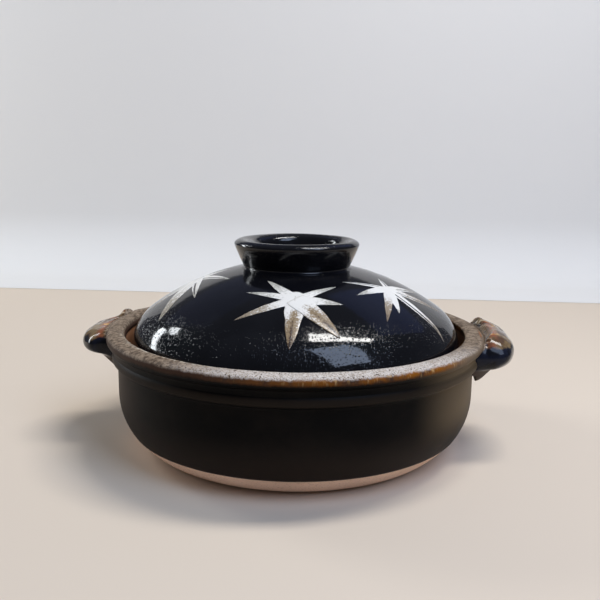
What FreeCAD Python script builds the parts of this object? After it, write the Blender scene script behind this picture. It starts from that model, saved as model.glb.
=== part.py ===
import FreeCAD, Part
import math
import os
from collections import namedtuple

# A donabe: a wide stoneware cooking pot with two lug handles, and a domed lid with a ring knob that drops
# into a ledge inside the pot's rim. All sizes are in millimetres. The origin is on the table under the pot's
# axis, +Z is up and +X points at the right handle.
#
# Every turned piece is drawn as an outline in the (r, z) half plane and spun round Z. The clay is drawn
# first; each glaze coat is a strip of even thickness laid on the clay's outline.

# Glaze and fits
glaze_coat = 0.6              # thickness of the fired glaze
lid_seat_gap = 0.3            # between the lid's edge and the ledge that carries it
lid_play = 3.2                # sideways, between the lid's edge and the clay that surrounds it

# Pot: foot, wall and floor, in clay
pot_height = 79.6             # table to the top of the rim
wall_radius = 122.3
wall_thickness = 7.0
floor_thickness = 8.0
heel_inset = 23.0             # how far the foot's corner lies inside the wall
heel_rise = 18.6              # height at which the slope from the foot would meet the wall
foot_fillet = 21.5
heel_fillet = 43.5
floor_fillet = 36.0
foot_ring_width = 32.8        # flat ring that stands on the table, out to the foot's corner
recess_depth = 1.2            # shallow turned hollow inside that ring
recess_bevel = 2.5
glaze_line_height = 15.0      # the outer glaze stops here, and bare clay shows below

# Pot: rim, neck and ridge, each measured from the one above it, in clay
rim_overhang = 7.1            # rim beyond the wall
rim_width = 10.8              # across the rim's top
rim_band = 4.8                # upright outer face of the rim
rim_flare = 3.2               # height of the slope from the rim in to the neck
neck_overhang = 2.6
neck_band = 4.0
ridge_overhang = 3.7
ridge_shoulder = 1.2          # height of the slope from the neck out to the ridge
ridge_band = 3.6
ridge_slope = 2.0             # height of the slope from the ridge in to the wall
ridge_fillet = 1.5
neck_fillet = 2.2
rim_fillet = 2.9
lip_fillet = 2.6
lip_coat_depth = 4.0          # how far the rim's glaze reaches down inside the lip

# Pot: the ledge that carries the lid
ledge_drop = 14.3             # below the top of the rim
seat_taper = 2.6              # the seat's wall closes in by this much from lip to ledge
ledge_width = 12.5
ledge_nose_height = 4.6
ledge_underside_drop = 10.7   # from the nose down to where the underside runs into the inner wall
ledge_fillet = 2.1
ledge_root_fillet = 12.0
bare_underside_share = 0.25   # part of the ledge's underside that is left unglazed

# Handles: each is a loaf, turned about its own upright axis, narrowed to a tongue and trimmed to the pot
lug_axis_inset = 13.8         # the loaf's axis inside the pot's wall
lug_radius = 43.4             # from the loaf's axis to the handle's nose
lug_top_rise = 4.8            # top of the loaf above the clay rim
lug_top_fall = 0.6            # the top slopes down by this much towards its shoulder
lug_shoulder_inset = 10.5     # from the nose in to the shoulder
lug_nose_drop = 9.9           # top of the nose's upright face, below the top of the loaf
lug_nose_height = 16.3        # height of that face
lug_under_inset = 12.0        # from the nose in to the hollow that the fingers grip
lug_under_rise = 1.3          # the hollow lies above the nose's lower edge
lug_tip_drop = 13.9           # the leg's tip hangs this far below the hollow
lug_leg_thickness = 3.6
lug_leg_gap = 1.7             # clear space between the leg's tip and the pot's glazed wall
lug_root_height = 54.5        # the leg is joined to the wall above this height
lug_half_width = 36.0         # along the rim, at the top of the tongue
lug_tongue_depth = 39.5       # from there down to the tongue's lowest point
lug_tongue_drop = 1.0         # the tongue is widest at this depth below the top of the loaf
lug_root_depth = 1.4          # how deep the handle is sunk into the rim's outer edge
lug_step = 0.9                # the loaf's back edge stands this far above the clay rim
lug_back_width = 5.2          # steep part of the back's slope, up from that edge
lug_back_rise = 3.1
lug_back_fillet = 4.0
lug_shoulder_fillet = 14.0
lug_brow_fillet = 12.0
lug_nose_fillet = 5.5
lug_under_fillet = 6.0
lug_tip_fillet = 1.5

# Lid, in clay
lid_thickness = 7.0
lid_edge_height = 2.9         # upright part of the edge, below the dome's shoulder
lid_edge_fillet = 2.5
lid_edge_inner_fillet = 1.5
dome_radius = 172.6
shoulder_radius = 31.2

# Knob: a flared ring on the dome's crown, with a steam hole behind it
knob_foot_radius = 37.0
knob_foot_width = 10.0
knob_height = 20.2            # from the dome at the ring's foot to its crest
knob_flare = 6.6              # the lip beyond the foot
knob_lip_width = 12.6
knob_lip_drop = 3.4           # widest point of the lip, below the crest
knob_mouth_drop = 1.4         # the mouth's inner edge, below the crest
knob_crest_inset = 3.6
knob_lip_fillet = 3.2
knob_crest_fillet = 2.6
knob_mouth_fillet = 3.4
knob_root = 1.5               # depth of the section's foot below the dome, before it is trimmed
well_pool = 1.3               # glaze gathers thicker on the crown inside the ring
vent_radius = 4.2
vent_gap = 25.0               # from the knob's foot back to the middle of the steam hole

# How far a cutting tool runs past the piece
overrun = 10.0

# Sizes that several pieces share
foot_radius = wall_radius - heel_inset
inner_radius = wall_radius - wall_thickness
rim_radius = wall_radius + rim_overhang
lip_radius = rim_radius - rim_width
seat_radius = lip_radius - seat_taper
ledge_nose_radius = seat_radius - ledge_width
ledge_height = pot_height - ledge_drop
rim_underside = pot_height - rim_band
neck_top = rim_underside - rim_flare
neck_bottom = neck_top - neck_band
ridge_top = neck_bottom - ridge_shoulder
ridge_underside = ridge_top - ridge_band
ridge_bottom = ridge_underside - ridge_slope
leg_back_radius = wall_radius + glaze_coat + lug_leg_gap
lug_axis_radius = wall_radius - lug_axis_inset
lug_nose_radius = lug_axis_radius + lug_radius
lug_crest = pot_height + lug_top_rise
lid_edge_radius = seat_radius - lid_play
lid_bottom = ledge_height + lid_seat_gap

AXIS = FreeCAD.Vector(0, 0, 1)
ORIGIN = FreeCAD.Vector(0, 0, 0)
FULL_TURN = 360.0

# An outline is a chain of these. An arc's angles are in radians, counter-clockwise in the (r, z) half plane.
Line = namedtuple("Line", "start end")
Arc = namedtuple("Arc", "centre radius start sweep")


def point(r, z):
    return FreeCAD.Vector(r, 0, z)


def on_arc(arc, share):
    """The point at a share of an arc's sweep."""
    angle = arc.start + share * arc.sweep
    return arc.centre + point(math.cos(angle), math.sin(angle)) * arc.radius


def first_point(piece):
    return piece.start if isinstance(piece, Line) else on_arc(piece, 0)


def last_point(piece):
    return piece.end if isinstance(piece, Line) else on_arc(piece, 1)


def left_of(direction):
    """The direction's left-hand normal in the (r, z) half plane."""
    return point(-direction.z, direction.x)


def rounded(corners):
    """Straight legs through corners (r, z, fillet), joined by tangent arcs.

    A fillet too large for its legs is reduced to fit them.
    """
    spots = [point(c[0], c[1]) for c in corners]
    legs = [(b - a).Length for a, b in zip(spots, spots[1:])]
    ways = [(b - a).normalize() for a, b in zip(spots, spots[1:])]
    turns = [math.atan2(a.x * b.z - a.z * b.x, a.dot(b)) for a, b in zip(ways, ways[1:])]
    wanted = [c[2] * math.tan(abs(t) / 2) for c, t in zip(corners[1:-1], turns)]
    used = [0.0] + wanted + [0.0]
    room = [leg / max(a + b, leg) for leg, a, b in zip(legs, used, used[1:])]
    chain = []
    here = spots[0]
    for i, turn in enumerate(turns):
        corner = spots[i + 1]
        share = min(room[i], room[i + 1])
        tangent = wanted[i] * share
        radius = corners[i + 1][2] * share
        begin = corner - ways[i] * tangent
        centre = begin + left_of(ways[i]) * math.copysign(radius, turn)
        chain.append(Line(here, begin))
        if radius > 0:
            chain.append(Arc(centre, radius, math.atan2(begin.z - centre.z, begin.x - centre.x), turn))
        here = corner + ways[i + 1] * tangent
    chain.append(Line(here, spots[-1]))
    return chain


def parallel(chain, distance):
    """The chain moved to its left by a distance; it has to be smooth."""
    moved = []
    for piece in chain:
        if isinstance(piece, Line):
            aside = left_of((piece.end - piece.start).normalize()) * distance
            moved.append(Line(piece.start + aside, piece.end + aside))
        else:
            moved.append(piece._replace(radius=piece.radius - distance * math.copysign(1, piece.sweep)))
    return moved


def backwards(chain):
    turned = []
    for piece in reversed(chain):
        if isinstance(piece, Line):
            turned.append(Line(piece.end, piece.start))
        else:
            turned.append(piece._replace(start=piece.start + piece.sweep, sweep=-piece.sweep))
    return turned


def upper_part(piece, height):
    """The part of a rising line or arc that lies above a height."""
    low, high = first_point(piece).z, last_point(piece).z
    if low >= height:
        return piece
    if isinstance(piece, Line):
        share = (height - low) / (high - low)
        return Line(piece.start + (piece.end - piece.start) * share, piece.end)
    angle = math.asin((height - piece.centre.z) / piece.radius)
    return piece._replace(start=angle, sweep=piece.start + piece.sweep - angle)


def above(chain, height):
    """The chain from the place where it first rises past a height."""
    first = next(i for i, piece in enumerate(chain) if last_point(piece).z > height)
    return [upper_part(chain[first], height)] + chain[first + 1:]


def region(chain):
    """A flat face inside a chain, whose gaps and ends are closed by straight edges."""
    edges = []
    for piece, following in zip(chain, chain[1:] + chain[:1]):
        begin, end = first_point(piece), last_point(piece)
        if isinstance(piece, Arc):
            edges.append(Part.Arc(begin, on_arc(piece, 0.5), end).toShape())
        elif not begin.isEqual(end, Part.Precision.confusion()):
            edges.append(Part.LineSegment(begin, end).toShape())
        joint = first_point(following)
        if not end.isEqual(joint, Part.Precision.confusion()):
            edges.append(Part.LineSegment(end, joint).toShape())
    return Part.Face(Part.Wire(edges))


def coat(chain, thickness):
    """A strip of glaze on a clay outline: on its left, or on its right if the thickness is negative."""
    return region(chain + backwards(parallel(chain, thickness)))


def spin(face):
    return face.revolve(ORIGIN, AXIS, FULL_TURN)


def between(start, end, share):
    """The point at a share of the way from one point to another."""
    return start + (end - start) * share


def pot_outlines():
    """The pot's clay outline in three stretches: outside and rim, bare seat, and cooking surface."""
    nose_bottom = ledge_height - ledge_nose_height
    root_height = nose_bottom - ledge_underside_drop
    recess_radius = foot_radius - foot_ring_width
    lip = point(lip_radius, pot_height)
    coat_end = between(lip, point(seat_radius, ledge_height), lip_coat_depth / ledge_drop)
    nose = point(ledge_nose_radius, nose_bottom)
    underside = between(nose, point(inner_radius, root_height), bare_underside_share)
    outside = rounded([
        (0, recess_depth),
        (recess_radius - recess_bevel, recess_depth, recess_depth),
        (recess_radius, 0, recess_depth),
        (foot_radius, 0, foot_fillet),
        (wall_radius, heel_rise, heel_fillet),
        (wall_radius, ridge_bottom, ridge_fillet),
        (wall_radius + ridge_overhang, ridge_underside, ridge_fillet),
        (wall_radius + ridge_overhang, ridge_top, ridge_fillet),
        (wall_radius + neck_overhang, neck_bottom, neck_fillet),
        (wall_radius + neck_overhang, neck_top, neck_fillet),
        (rim_radius, rim_underside, rim_fillet),
        (rim_radius, pot_height, rim_fillet),
        (lip.x, lip.z, lip_fillet),
        (coat_end.x, coat_end.z),
    ])
    seat = rounded([
        (coat_end.x, coat_end.z),
        (seat_radius, ledge_height, ledge_fillet),
        (ledge_nose_radius, ledge_height, ledge_fillet),
        (nose.x, nose.z, ledge_fillet),
        (underside.x, underside.z),
    ])
    inside = rounded([
        (underside.x, underside.z),
        (inner_radius, root_height, ledge_root_fillet),
        (inner_radius, floor_thickness, floor_fillet),
        (0, floor_thickness),
    ])
    return outside, seat, inside


def filled_in(chain):
    """The region between a chain that starts on the axis and the axis itself."""
    end = last_point(chain[-1])
    return region(chain + [Line(end, point(0, end.z))])


def make_pot_pieces():
    """The pot's clay, its outer and inner coats, and the clay with its hollow filled in."""
    outside, seat, inside = pot_outlines()
    clay = spin(region(outside + seat + inside))
    outer_coat = spin(coat(above(outside, glaze_line_height), -glaze_coat))
    inner_coat = spin(coat(inside, -glaze_coat))
    return clay, outer_coat, inner_coat, spin(filled_in(outside))


def lug_section():
    """A handle's section, from the loaf's axis over the nose and in again along the leg's tip."""
    brow = lug_crest - lug_nose_drop
    nose_bottom = brow - lug_nose_height
    hollow = nose_bottom + lug_under_rise
    tip = hollow - lug_tip_drop
    return region(rounded([
        (lug_axis_radius, lug_crest),
        (lug_nose_radius - lug_shoulder_inset, lug_crest - lug_top_fall, lug_shoulder_fillet),
        (lug_nose_radius, brow, lug_brow_fillet),
        (lug_nose_radius, nose_bottom, lug_nose_fillet),
        (lug_nose_radius - lug_under_inset, hollow, lug_under_fillet),
        (leg_back_radius + lug_leg_thickness, tip, lug_tip_fillet),
        (lug_axis_radius, tip),
    ]))


def lug_tongue():
    """A lying bar of oval section that narrows the handle downwards."""
    middle = point(lug_axis_radius, lug_crest - lug_tongue_drop)
    deep = middle + FreeCAD.Vector(0, 0, lug_tongue_depth)
    wide = middle + FreeCAD.Vector(0, lug_half_width, 0)
    oval = Part.Wire(Part.Ellipse(deep, wide, middle).toShape())
    return Part.Face(oval).extrude(FreeCAD.Vector(lug_radius + overrun, 0, 0))


def make_handle(pot_filled):
    """The right handle: the loaf, cut back to the pot, the rim's outer edge and the gap behind the leg."""
    loaf = lug_section().revolve(point(lug_axis_radius, 0), AXIS, FULL_TURN)
    back = rim_radius - lug_root_depth
    step = pot_height + lug_step
    slope_top = step + lug_back_rise
    over_rim = spin(region(rounded([
        (0, rim_underside),
        (back, rim_underside, 0),
        (back, step, 0),
        (back + lug_back_width, slope_top, lug_back_fillet),
        (lug_nose_radius, lug_crest + overrun, 0),
        (0, lug_crest + overrun),
    ])))
    behind_leg = Part.makeCylinder(leg_back_radius, lug_root_height)
    return loaf.common(lug_tongue()).cut([pot_filled, over_rim, behind_leg])


def dome_chain():
    """The lid's outer clay outline, from crown to upright edge, and the height of its sphere's centre."""
    shoulder_centre = lid_edge_radius - shoulder_radius
    shoulder_height = lid_bottom + lid_edge_height
    rise = math.sqrt((dome_radius - shoulder_radius) ** 2 - shoulder_centre ** 2)
    centre_height = shoulder_height - rise
    meet = math.atan2(rise, shoulder_centre)
    crown = Arc(point(0, centre_height), dome_radius, math.pi / 2, meet - math.pi / 2)
    shoulder = Arc(point(shoulder_centre, shoulder_height), shoulder_radius, meet, -meet)
    return [crown, shoulder], centre_height


def knob_section(dome, centre_height):
    """The ring's section, standing on the dome."""
    foot_height = centre_height + math.sqrt(dome_radius ** 2 - knob_foot_radius ** 2)
    crest = foot_height + knob_height
    lip_radius_there = knob_foot_radius + knob_flare
    lean = knob_flare / (knob_height - knob_lip_drop)
    ring = region(rounded([
        (knob_foot_radius - lean * knob_root, foot_height - knob_root),
        (lip_radius_there, crest - knob_lip_drop, knob_lip_fillet),
        (lip_radius_there - knob_crest_inset, crest, knob_crest_fillet),
        (lip_radius_there - knob_lip_width, crest - knob_mouth_drop, knob_mouth_fillet),
        (knob_foot_radius - knob_foot_width, foot_height - knob_root),
    ]))
    return ring.cut(filled_in(dome))


def make_lid_pieces():
    dome, centre_height = dome_chain()
    hollow = parallel(dome, -lid_thickness)
    edge = last_point(dome[-1])
    edge_chain = rounded([
        (edge.x, edge.z),
        (lid_edge_radius, lid_bottom, lid_edge_fillet),
        (lid_edge_radius - lid_thickness, lid_bottom, lid_edge_inner_fillet),
        (lid_edge_radius - lid_thickness, edge.z),
    ])
    clay = spin(region(dome + edge_chain + backwards(hollow)))
    knob_face = knob_section(dome, centre_height)
    outer_face = max(coat(dome, glaze_coat).cut(knob_face).Faces, key=lambda face: face.BoundBox.XMax)
    well_face = min(coat(dome, well_pool).cut(knob_face).Faces, key=lambda face: face.BoundBox.XMax)
    vent = Part.makeCylinder(
        vent_radius,
        centre_height + dome_radius + overrun - lid_bottom,
        FreeCAD.Vector(0, knob_foot_radius + vent_gap, lid_bottom),
    )
    return {
        "lid_dome": clay.cut(vent),
        "lid_knob": spin(knob_face),
        "lid_outer_glaze": spin(outer_face).cut(vent),
        "knob_well_glaze": spin(well_face),
        "lid_inner_glaze": spin(coat(hollow, -glaze_coat)).cut(vent),
    }


def main():
    clay, outer_coat, inner_coat, pot_filled = make_pot_pieces()
    right = make_handle(pot_filled)
    left = right.mirror(ORIGIN, FreeCAD.Vector(1, 0, 0))
    pieces = {
        "pot_body": clay,
        "pot_outer_glaze": outer_coat.cut([right, left]),
        "pot_inner_glaze": inner_coat,
        "handle_right": right,
        "handle_left": left,
    }
    pieces.update(make_lid_pieces())
    os.makedirs("parts", exist_ok=True)
    for name, shape in pieces.items():
        shape.exportStep(os.path.join("parts", name + ".step"))
        print(f"{name}: {len(shape.Solids)} solid, valid {shape.isValid()}, {shape.Volume:.1f} mm3")


main()
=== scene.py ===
# %% [markdown]
# # A donabe with a black lid
# A donabe is a wide stoneware pot for cooking at the table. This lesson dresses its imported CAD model: the
# clay and the inner coats stay as CAD solids with new finishes, and every surface that catches the eye, the
# outer glazes, the knob, the lug handles and the brushed leaves, is modelled again here with small
# irregularities that a turned and glazed pot has. All lengths are in metres, in the frame of the CAD model.

# %% Load the fixed frame
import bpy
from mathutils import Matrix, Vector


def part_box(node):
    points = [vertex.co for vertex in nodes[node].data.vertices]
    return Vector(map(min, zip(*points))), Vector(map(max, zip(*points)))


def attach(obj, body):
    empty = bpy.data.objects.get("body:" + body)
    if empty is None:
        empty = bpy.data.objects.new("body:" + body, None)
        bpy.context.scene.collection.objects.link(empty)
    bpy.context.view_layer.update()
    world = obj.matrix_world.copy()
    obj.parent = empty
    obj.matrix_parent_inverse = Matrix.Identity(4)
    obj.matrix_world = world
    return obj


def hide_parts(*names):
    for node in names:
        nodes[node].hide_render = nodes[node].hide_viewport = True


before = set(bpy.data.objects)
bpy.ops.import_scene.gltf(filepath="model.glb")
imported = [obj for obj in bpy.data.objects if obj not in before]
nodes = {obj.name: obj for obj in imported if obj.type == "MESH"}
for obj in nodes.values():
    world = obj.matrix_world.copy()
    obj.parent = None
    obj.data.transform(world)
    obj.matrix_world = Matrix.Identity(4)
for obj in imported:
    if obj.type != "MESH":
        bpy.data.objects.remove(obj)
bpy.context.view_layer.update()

# %% Tools used all through the lesson
import math

import bmesh
import bpy
from mathutils import Matrix, Vector, noise
from mathutils.bvhtree import BVHTree

MM = 0.001
scene = bpy.context.scene
print("CAD nodes", sorted(nodes))

# %% [markdown]
# ## The viewpoint
# The photograph looks down on the pot from the front and a few degrees to its right. A camera is easiest to
# rebuild from a distance, a height, a pitch and the focal length in pixels, so these four are the values to
# change. A slight roll stands for the hand that held the camera.

# %% Camera
VIEW_TURN = math.radians(4.5)
VIEW_SIDE = 2.6 * MM
VIEW_DISTANCE = 510.6 * MM
VIEW_HEIGHT = 195.4 * MM
VIEW_PITCH = 0.18777
VIEW_ROLL = 0.012
FOCAL_PIXELS = 741.2
IMAGE_WIDTH = 600

camera_data = bpy.data.cameras.new("viewpoint")
camera_data.sensor_width = 36.0
camera_data.lens = FOCAL_PIXELS / IMAGE_WIDTH * camera_data.sensor_width
camera_data.clip_start = 0.01
camera = bpy.data.objects.new("viewpoint", camera_data)
scene.collection.objects.link(camera)
camera.matrix_world = (
    Matrix.Rotation(VIEW_TURN, 4, "Z")
    @ Matrix.Translation((VIEW_SIDE, -VIEW_DISTANCE, VIEW_HEIGHT))
    @ Matrix.Rotation(math.pi / 2 - VIEW_PITCH, 4, "X")
    @ Matrix.Rotation(VIEW_ROLL, 4, "Z")
)
scene.camera = camera
print("camera at", [round(v, 3) for v in camera.matrix_world.translation], "lens", round(camera_data.lens, 2))

# %% [markdown]
# ## Shader helpers
# Each finish below is a small node tree. Writing one line per node keeps such a tree readable: `add` makes a
# node, sets its options and either links or sets its inputs, `blend` mixes two colours by a mask, and
# `between` makes such a mask from a height, a distance or a noise.

# %% Nodes and colours
def add(tree, kind, inputs=None, **options):
    """A shader node; each input is a value, or an output socket to link from."""
    made = tree.nodes.new("ShaderNode" + kind)
    for name, value in options.items():
        setattr(made, name, value)
    for key, value in (inputs or {}).items():
        if isinstance(value, bpy.types.NodeSocket):
            tree.links.new(value, made.inputs[key])
        else:
            made.inputs[key].default_value = value
    return made


def blend(tree, mask, first, second):
    """A colour that goes from the first to the second as the mask goes from 0 to 1."""
    made = add(tree, "Mix", {0: mask}, data_type="RGBA")
    for key, value in ((6, first), (7, second)):
        if isinstance(value, bpy.types.NodeSocket):
            tree.links.new(value, made.inputs[key])
        else:
            made.inputs[key].default_value = (*value, 1.0)
    return made.outputs[2]


# %% Masks and numbers
def between(tree, value, low, high, out_low=0.0, out_high=1.0):
    """A smooth step of a value from low to high."""
    return add(tree, "MapRange", {0: value, 1: low, 2: high, 3: out_low, 4: out_high},
               interpolation_type="SMOOTHSTEP").outputs[0]


def from_to(tree, mask, first, second):
    """A number that goes straight from the first to the second as the mask goes from 0 to 1."""
    return add(tree, "MapRange", {0: mask, 3: first, 4: second}).outputs[0]


def times(tree, first, second):
    return add(tree, "Math", {0: first, 1: second}, operation="MULTIPLY").outputs[0]


def plus(tree, first, second):
    return add(tree, "Math", {0: first, 1: second}, operation="ADD").outputs[0]


def minus(tree, first, second):
    return add(tree, "Math", {0: first, 1: second}, operation="SUBTRACT").outputs[0]


# %% Places, textures and finishes
def height_of(tree, place):
    return add(tree, "SeparateXYZ", {0: place}).outputs[2]


def radius_of(tree, place):
    """A point's distance from the pot's axis."""
    flat = add(tree, "VectorMath", {0: place, 1: (1.0, 1.0, 0.0)}, operation="MULTIPLY").outputs[0]
    return add(tree, "VectorMath", {0: flat}, operation="LENGTH").outputs["Value"]


def moved(tree, place, how, amount):
    """Coordinates that are stretched, with Scale, or shifted, with Location."""
    return add(tree, "Mapping", {"Vector": place, how: amount}).outputs[0]


def speckle(tree, place, scale, detail=2.0, roughness=0.5):
    return add(tree, "TexNoise", {"Vector": place, "Scale": scale, "Detail": detail,
                                  "Roughness": roughness}).outputs[0]


def noted(tree, name):
    """A number that a piece's vertices carry."""
    return add(tree, "Attribute", attribute_name=name).outputs["Fac"]


def relief(tree, height, strength, depth):
    return add(tree, "Bump", {"Strength": strength, "Distance": depth, "Height": height}).outputs[0]


def new_finish(name):
    """A material with its tree, its shader and the Object coordinates of a point."""
    material = bpy.data.materials.new(name)
    material.use_nodes = True
    tree = material.node_tree
    return material, tree, tree.nodes["Principled BSDF"], add(tree, "TexCoord").outputs["Object"]


def connect(tree, shader, **sockets):
    names = {"colour": "Base Color", "roughness": "Roughness", "normal": "Normal"}
    for key, socket in sockets.items():
        tree.links.new(socket, shader.inputs[names[key]])


# %% [markdown]
# ## Floor, backdrop and light
# The pot stands on a plain, pale, warm floor in front of a low pale wall, and soft panels light it. A long one
# overhead draws the bright band on the lid's shoulder, two slanted panes on the left stand for a window, and a
# large bluish one in front draws the haze below the band. Glossy black glaze shows little colour of its own, so
# where the lamps stand matters more than how strong they are: each place was found by mirroring the line of
# sight on the dome. Two dim blue panels at the back stand for the sky that the upper dome mirrors.

# %% Floor and backdrop
FLOOR_COLOUR = (0.66, 0.56, 0.45)
FLOOR_HALF_WIDTH = 2.0
BACKDROP_COLOUR = (0.74, 0.725, 0.70)
BACKDROP_HALF_WIDTH = 0.66
BACKDROP_PLACE = 0.75
BACKDROP_FOOT = 0.3 * MM
BACKDROP_TOP = 0.48
BACKDROP_CURVE = 0.10
PAPER_ROUGHNESS = 0.9


def make_floor():
    bm = bmesh.new()
    bmesh.ops.create_grid(bm, x_segments=1, y_segments=1, size=FLOOR_HALF_WIDTH)
    return bm


def make_backdrop():
    """A low wall with a curved foot, drawn as an outline and pulled out sideways."""
    bm = bmesh.new()
    corners = ((BACKDROP_PLACE - 2 * BACKDROP_CURVE, BACKDROP_FOOT), (BACKDROP_PLACE, BACKDROP_FOOT),
               (BACKDROP_PLACE, BACKDROP_TOP))
    path = [bm.verts.new((-BACKDROP_HALF_WIDTH, y, z)) for y, z in corners]
    for pair in zip(path, path[1:]):
        bm.edges.new(pair)
    bmesh.ops.bevel(bm, geom=[path[1]], offset=BACKDROP_CURVE, offset_type="OFFSET", segments=12, profile=0.5,
                    affect="VERTICES", material=-1)
    grown = bmesh.ops.extrude_edge_only(bm, edges=bm.edges[:])
    pulled = [v for v in grown["geom"] if isinstance(v, bmesh.types.BMVert)]
    bmesh.ops.translate(bm, verts=pulled, vec=(2 * BACKDROP_HALF_WIDTH, 0, 0))
    bmesh.ops.recalc_face_normals(bm, faces=bm.faces[:])
    return bm


def new_object(name, bm, material):
    """A smooth-shaded object in the scene, made from a bmesh that is then let go."""
    mesh = bpy.data.meshes.new(name)
    bm.to_mesh(mesh)
    bm.free()
    mesh.shade_smooth()
    mesh.materials.append(material)
    made = bpy.data.objects.new(name, mesh)
    scene.collection.objects.link(made)
    print(name, len(mesh.polygons), "faces")
    return made


def stage_piece(name, bm, colour):
    paper, _, shader, _ = new_finish(name + "_paper")
    shader.inputs["Base Color"].default_value = (*colour, 1.0)
    shader.inputs["Roughness"].default_value = PAPER_ROUGHNESS
    made = new_object(name, bm, paper)


stage_piece("floor", make_floor(), FLOOR_COLOUR)
stage_piece("backdrop", make_backdrop(), BACKDROP_COLOUR)

# %% Lamps and room
LAMP_AIM = Vector((0, 0, 0.09))
DAYLIGHT = (1.0, 0.985, 0.96)
WINDOW_LIGHT = (0.93, 0.97, 1.0)
HAZE_LIGHT = (0.60, 0.73, 1.0)
SKY_LIGHT = (0.22, 0.34, 1.0)
ROOM_LIGHT = (0.112, 0.118, 0.140)


def panel(name, towards, distance, size, power, colour, slant=0.0):
    """A soft rectangular lamp that stands in a direction from the pot and faces it; slant is in degrees."""
    lamp = bpy.data.lights.new(name, "AREA")
    lamp.shape = "RECTANGLE"
    lamp.size, lamp.size_y = size
    lamp.energy = power
    lamp.color = colour
    stand = bpy.data.objects.new(name, lamp)
    way = Vector(towards).normalized()
    turn = way.to_track_quat("Z", "Y").to_matrix().to_4x4()
    stand.matrix_world = (Matrix.Translation(LAMP_AIM + way * distance) @ turn
                          @ Matrix.Rotation(math.radians(slant), 4, "Z"))
    scene.collection.objects.link(stand)


panel("overhead_panel", towards=(0.316, 0.058, 0.947), distance=1.3, size=(0.205, 0.62), power=12.0,
      colour=DAYLIGHT)
panel("window_panel", towards=(-0.910, 0.324, 0.259), distance=1.43, size=(0.16, 0.78), power=5.8,
      colour=WINDOW_LIGHT, slant=33)
panel("side_pane_panel", towards=(-0.758, 0.332, 0.562), distance=1.42, size=(0.14, 0.32), power=2.1,
      colour=WINDOW_LIGHT, slant=75)
panel("haze_panel", towards=(0.471, -0.478, 0.742), distance=1.36, size=(0.60, 0.99), power=12.0,
      colour=HAZE_LIGHT)
panel("sky_left_panel", towards=(-0.42, 0.62, 0.65), distance=1.5, size=(0.9, 0.7), power=0.13, colour=SKY_LIGHT)
panel("sky_right_panel", towards=(0.43, 0.58, 0.69), distance=1.5, size=(0.8, 0.7), power=0.42, colour=SKY_LIGHT)

room = bpy.data.worlds.new("room")
room.use_nodes = True
room.node_tree.nodes["Background"].inputs["Color"].default_value = (*ROOM_LIGHT, 1.0)
scene.world = room
scene.view_settings.view_transform = "Standard"

# %% [markdown]
# ## Bare clay
# The foot is left unglazed, because glaze would fuse it to the kiln shelf. The clay fires to a pinkish beige,
# and toasts to orange brown on the ledge inside the rim. Height alone tells these places apart, so one finish
# serves the pot and the lid: beige low down, toasted above the cooking space, with grains of darker iron.

# %% Bare clay finish
BEIGE = (0.90, 0.63, 0.47)
BEIGE_DARK = (0.62, 0.41, 0.30)
TOASTED = (0.215, 0.088, 0.034)
TOAST_FROM = 45.0 * MM
TOAST_TO = 58.0 * MM

bare_clay, tree, shader, place = new_finish("bare_clay")
grain = speckle(tree, place, 900.0)
cloud = speckle(tree, place, 28.0, detail=4.0)
clay = blend(tree, between(tree, grain, 0.52, 0.75), BEIGE, BEIGE_DARK)
clay = blend(tree, between(tree, cloud, 0.35, 0.75, 0.0, 0.5), clay, BEIGE_DARK)
toast = times(tree, between(tree, height_of(tree, place), TOAST_FROM, TOAST_TO),
              between(tree, cloud, 0.2, 0.6, 0.75, 1.0))
clay = blend(tree, toast, clay, TOASTED)
connect(tree, shader, colour=clay, normal=relief(tree, grain, 0.35, 0.3 * MM))
shader.inputs["Roughness"].default_value = 0.78
shader.inputs["Specular IOR Level"].default_value = 0.3


def wear(node, material):
    """Gives a CAD node a finish."""
    nodes[node].data.materials.clear()
    nodes[node].data.materials.append(material)
    print(node, "wears", material.name)


wear("pot_body", bare_clay)
wear("lid_dome", bare_clay)

# %% [markdown]
# ## Inner glaze
# The cooking surface and the underside of the lid carry a plain brown glaze. Nobody sees them until the lid
# is lifted, and the CAD coats have the right shape, so they only get a finish: semi-gloss, cloudy, with fine
# dark specks.

# %% Inner glaze finish
INNER_BROWN = (0.105, 0.058, 0.033)
INNER_AMBER = (0.19, 0.098, 0.045)
INNER_SPECK = (0.03, 0.02, 0.014)

inner_glaze, tree, shader, place = new_finish("inner_glaze")
cloud = speckle(tree, place, 22.0, detail=5.0, roughness=0.6)
specks = speckle(tree, place, 620.0, detail=1.0)
brown = blend(tree, between(tree, cloud, 0.35, 0.7), INNER_BROWN, INNER_AMBER)
brown = blend(tree, between(tree, specks, 0.62, 0.72), brown, INNER_SPECK)
connect(tree, shader, colour=brown, roughness=between(tree, cloud, 0.3, 0.7, 0.22, 0.36),
        normal=relief(tree, specks, 0.12, 0.15 * MM))
wear("pot_inner_glaze", inner_glaze)
wear("lid_inner_glaze", inner_glaze)

# %% [markdown]
# ## Turned pieces
# A potter turns these shapes on a wheel, and `spin` does the same: an outline in the plane y = 0 goes once
# round the Z axis. Large curves of the outline are arcs, made by spinning a single vertex round the arc's
# centre. Small corners are drawn sharp and rounded by a vertex bevel.

# %% Outline tools
def arc(bm, start, centre, degrees, steps):
    """Carries a vertex round a centre (r, z) and returns the arc's last vertex."""
    made = bmesh.ops.spin(bm, geom=[start], cent=(centre[0], 0, centre[1]), axis=(0, -1, 0),
                          angle=math.radians(degrees), steps=steps)
    return next(part for part in made["geom_last"] if isinstance(part, bmesh.types.BMVert))


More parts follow.
